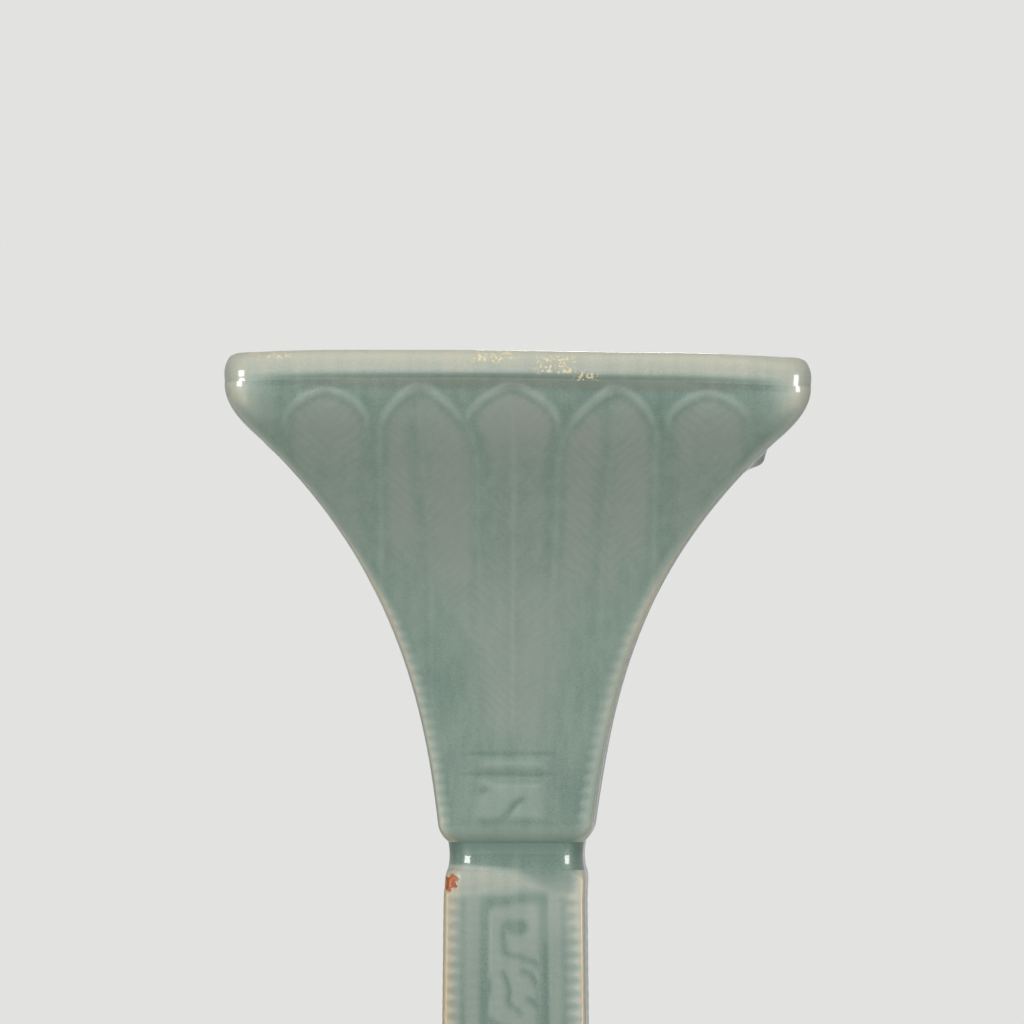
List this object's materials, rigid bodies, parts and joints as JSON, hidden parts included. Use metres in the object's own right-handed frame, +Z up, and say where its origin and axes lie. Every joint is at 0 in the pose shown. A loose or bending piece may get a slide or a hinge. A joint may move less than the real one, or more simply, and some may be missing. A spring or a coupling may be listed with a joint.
{
  "type": "flower vase",
  "caption": "Square celadon vase in the form of a bronze beaker: a flaring trumpet mouth, a straight stem and a splayed foot joined by narrow waists, with moulded leaves and scrolls.",
  "frame": {"origin": "centre of the foot, on the plane that the foot ring stands on", "axes": "+Z up along the vase's axis, -Y out of the front face, +X to the right seen from the front"},
  "size_m": [0.13, 0.13, 0.2492],
  "materials": {
    "celadon_glaze": "semi-gloss translucent grey-green glaze, paler at the edges",
    "bare_clay": "unglazed, fired orange-brown"
  },
  "bodies": {
    "root": {"lip_front": "celadon_glaze", "lip_right": "celadon_glaze", "lip_back": "celadon_glaze", "lip_left": "celadon_glaze", "trumpet_wall_front": "celadon_glaze", "trumpet_wall_right": "celadon_glaze", "trumpet_wall_back": "celadon_glaze", "trumpet_wall_left": "celadon_glaze", "trumpet_coil_front_right": "celadon_glaze", "trumpet_coil_right_back": "celadon_glaze", "trumpet_coil_back_left": "celadon_glaze", "trumpet_coil_left_front": "celadon_glaze", "upper_waist_ring": "celadon_glaze", "stem_wall_front": "celadon_glaze", "stem_wall_right": "celadon_glaze", "stem_wall_back": "celadon_glaze", "stem_wall_left": "celadon_glaze", "stem_coil_front_right": "celadon_glaze", "stem_coil_right_back": "celadon_glaze", "stem_coil_back_left": "celadon_glaze", "stem_coil_left_front": "celadon_glaze", "floor_slab": "celadon_glaze", "lower_waist_ring": "celadon_glaze", "foot_wall_front": "celadon_glaze", "foot_wall_right": "celadon_glaze", "foot_wall_back": "celadon_glaze", "foot_wall_left": "celadon_glaze", "foot_coil_front_right": "celadon_glaze", "foot_coil_right_back": "celadon_glaze", "foot_coil_back_left": "celadon_glaze", "foot_coil_left_front": "celadon_glaze", "foot_ring_front": "bare_clay", "foot_ring_right": "bare_clay", "foot_ring_back": "bare_clay", "foot_ring_left": "bare_clay"}
  },
  "joints": []
}
